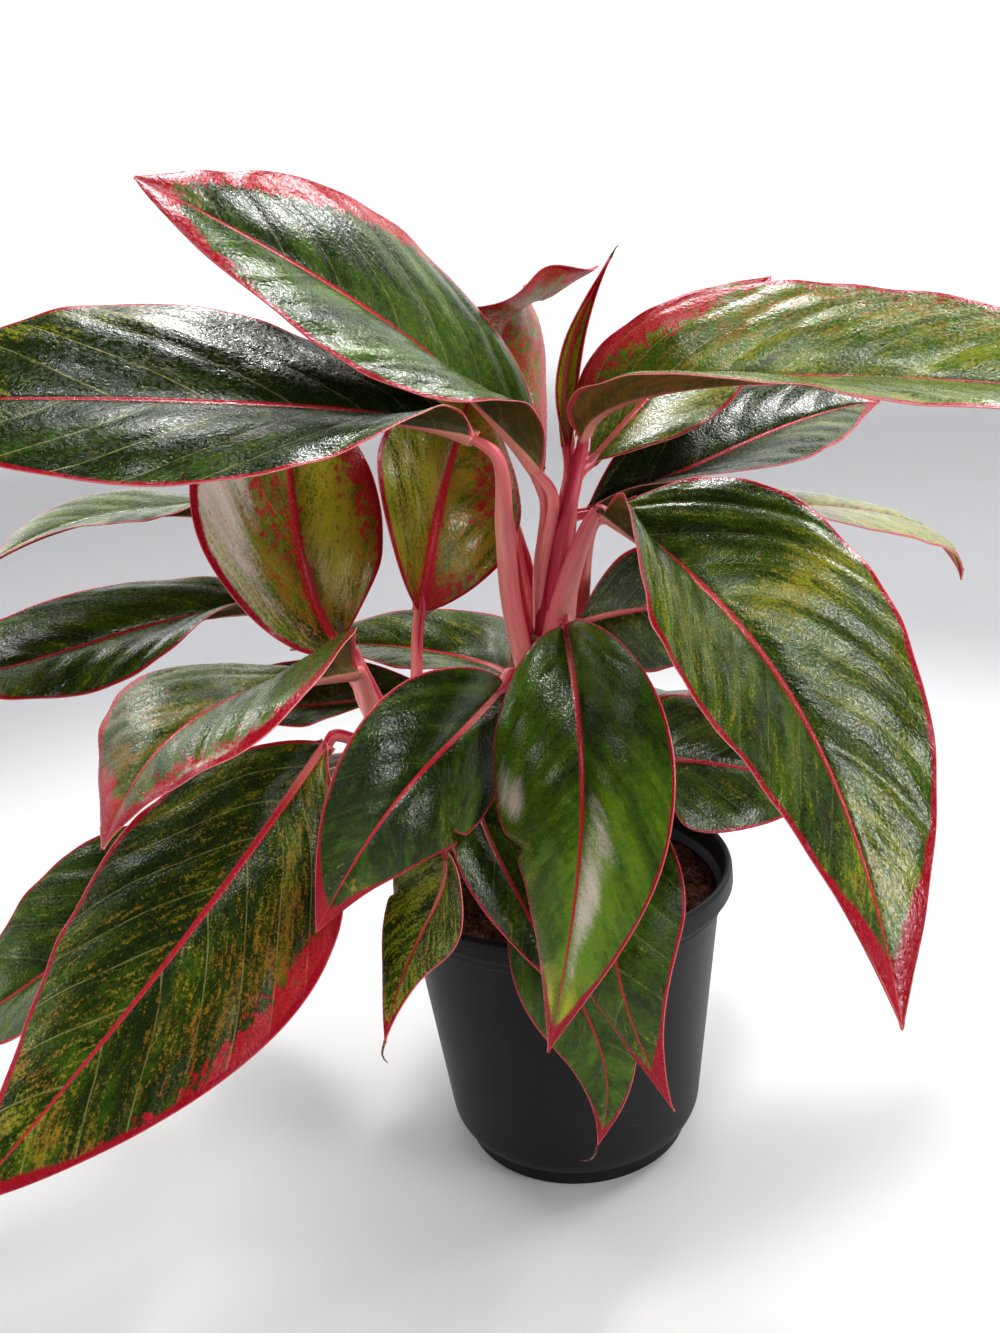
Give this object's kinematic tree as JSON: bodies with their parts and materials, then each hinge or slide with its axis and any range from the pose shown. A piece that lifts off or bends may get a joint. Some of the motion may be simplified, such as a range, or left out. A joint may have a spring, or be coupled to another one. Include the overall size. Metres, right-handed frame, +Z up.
{
  "type": "potted chinese evergreen",
  "caption": "Potted chinese evergreen with red-rimmed leaves on pink stems, standing in a round black nursery pot.",
  "frame": {"origin": "centre of the pot's base, on the surface that it stands on", "axes": "+Z up, -Y towards the pictured side, +X to the picture's right"},
  "size_m": [0.428, 0.262, 0.3612],
  "materials": {
    "pot_plastic": "matt black moulded plastic with faint scuffs",
    "soil_mix": "dark crumbly coco peat with pale fibres",
    "stem_skin": "satin salmon pink skin with red streaks",
    "leaf_skin": "waxy dark green with olive mottling, red midrib and red margin"
  },
  "bodies": {
    "root": {"pot": "pot_plastic", "soil": "soil_mix", "shoot_main": "stem_skin", "shoot_left": "stem_skin", "shoot_front": "stem_skin", "shoot_right": "stem_skin", "leaf_spear": "leaf_skin", "leaf_top_left": "leaf_skin", "leaf_left_long": "leaf_skin", "leaf_top_back": "leaf_skin", "leaf_right_long": "leaf_skin", "leaf_right_back_upper": "leaf_skin", "leaf_right_back_middle": "leaf_skin", "leaf_front_right_large": "leaf_skin", "leaf_right_back_lower": "leaf_skin", "leaf_right_inner": "leaf_skin", "leaf_front_centre": "leaf_skin", "leaf_front_left": "leaf_skin", "leaf_centre_back": "leaf_skin", "leaf_back_upper": "leaf_skin", "leaf_back": "leaf_skin", "leaf_back_right": "leaf_skin", "leaf_centre_upright": "leaf_skin", "leaf_left_upright": "leaf_skin", "leaf_left_folded": "leaf_skin", "leaf_left_large": "leaf_skin", "leaf_left_back_upper": "leaf_skin", "leaf_left_back_middle": "leaf_skin", "leaf_left_inner": "leaf_skin", "leaf_left_low": "leaf_skin", "leaf_back_left": "leaf_skin", "leaf_pot_middle": "leaf_skin", "leaf_pot_left": "leaf_skin", "leaf_pot_right": "leaf_skin", "leaf_pot_front": "leaf_skin", "leaf_right_low": "leaf_skin"}
  },
  "joints": []
}
